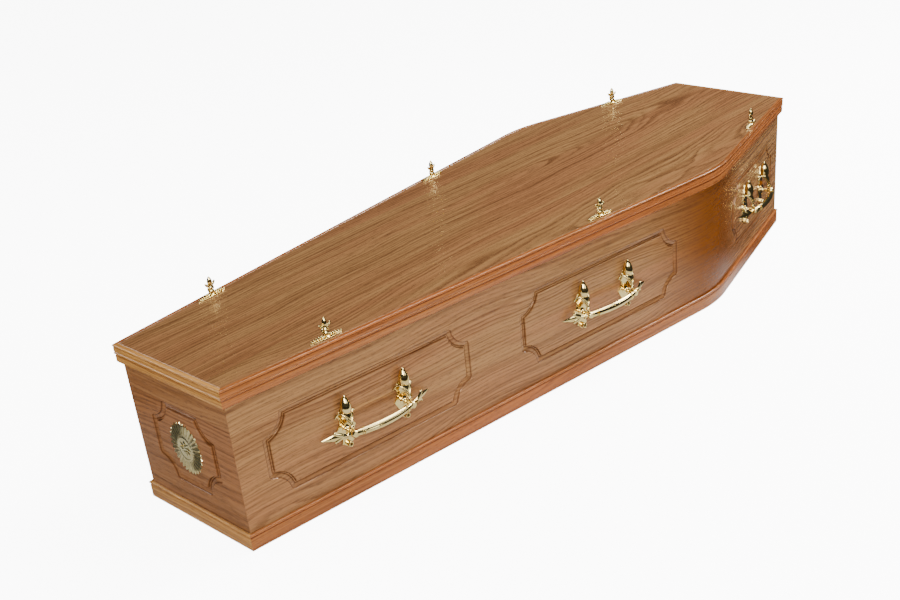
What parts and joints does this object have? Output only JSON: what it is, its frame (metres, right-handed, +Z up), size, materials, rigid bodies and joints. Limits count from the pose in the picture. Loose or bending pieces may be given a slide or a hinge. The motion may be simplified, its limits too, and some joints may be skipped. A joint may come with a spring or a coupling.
{
  "type": "coffin",
  "caption": "Tapered oak-veneered coffin with bent shoulders, routed panels, stepped lid and plinth mouldings, brass bail handles and lid screws; hollow under a lift-off lid.",
  "frame": {"origin": "centre of the footprint, on the surface that the coffin stands on", "axes": "+X along the coffin from the foot end to the head end, +Z up, -Y the left-hand side of the occupant"},
  "size_m": [1.96, 0.6396, 0.407],
  "materials": {
    "oak_board": "oak veneer, gloss lacquer",
    "oak_side_moulding": "red-brown stained oak, gloss lacquer",
    "oak_end_moulding": "pale golden oak, gloss lacquer",
    "base_board": "plain sawn board, unlacquered",
    "brass": "polished"
  },
  "bodies": {
    "root": {"base_board": "base_board", "lid_board": "oak_board", "side_board_left": "oak_board", "side_board_right": "oak_board", "end_board_foot": "oak_board", "end_board_head": "oak_board", "plinth_moulding_left": "oak_side_moulding", "plinth_moulding_right": "oak_side_moulding", "plinth_moulding_foot": "oak_end_moulding", "plinth_moulding_head": "oak_end_moulding", "lid_moulding_left": "oak_side_moulding", "lid_moulding_right": "oak_side_moulding", "lid_moulding_foot": "oak_end_moulding", "lid_moulding_head": "oak_end_moulding", "handle_bail_left_foot": "brass", "handle_bracket_left_foot_a": "brass", "handle_bracket_left_foot_b": "brass", "screw_plate_left_foot": "brass", "lid_screw_left_foot": "brass", "handle_bail_left_middle": "brass", "handle_bracket_left_middle_a": "brass", "handle_bracket_left_middle_b": "brass", "screw_plate_left_middle": "brass", "lid_screw_left_middle": "brass", "handle_bail_left_head": "brass", "handle_bracket_left_head_a": "brass", "handle_bracket_left_head_b": "brass", "screw_plate_left_head": "brass", "lid_screw_left_head": "brass", "handle_bail_right_foot": "brass", "handle_bracket_right_foot_a": "brass", "handle_bracket_right_foot_b": "brass", "screw_plate_right_foot": "brass", "lid_screw_right_foot": "brass", "handle_bail_right_middle": "brass", "handle_bracket_right_middle_a": "brass", "handle_bracket_right_middle_b": "brass", "screw_plate_right_middle": "brass", "lid_screw_right_middle": "brass", "handle_bail_right_head": "brass", "handle_bracket_right_head_a": "brass", "handle_bracket_right_head_b": "brass", "screw_plate_right_head": "brass", "lid_screw_right_head": "brass", "end_ornament_foot": "brass", "end_ornament_head": "brass"}
  },
  "joints": []
}
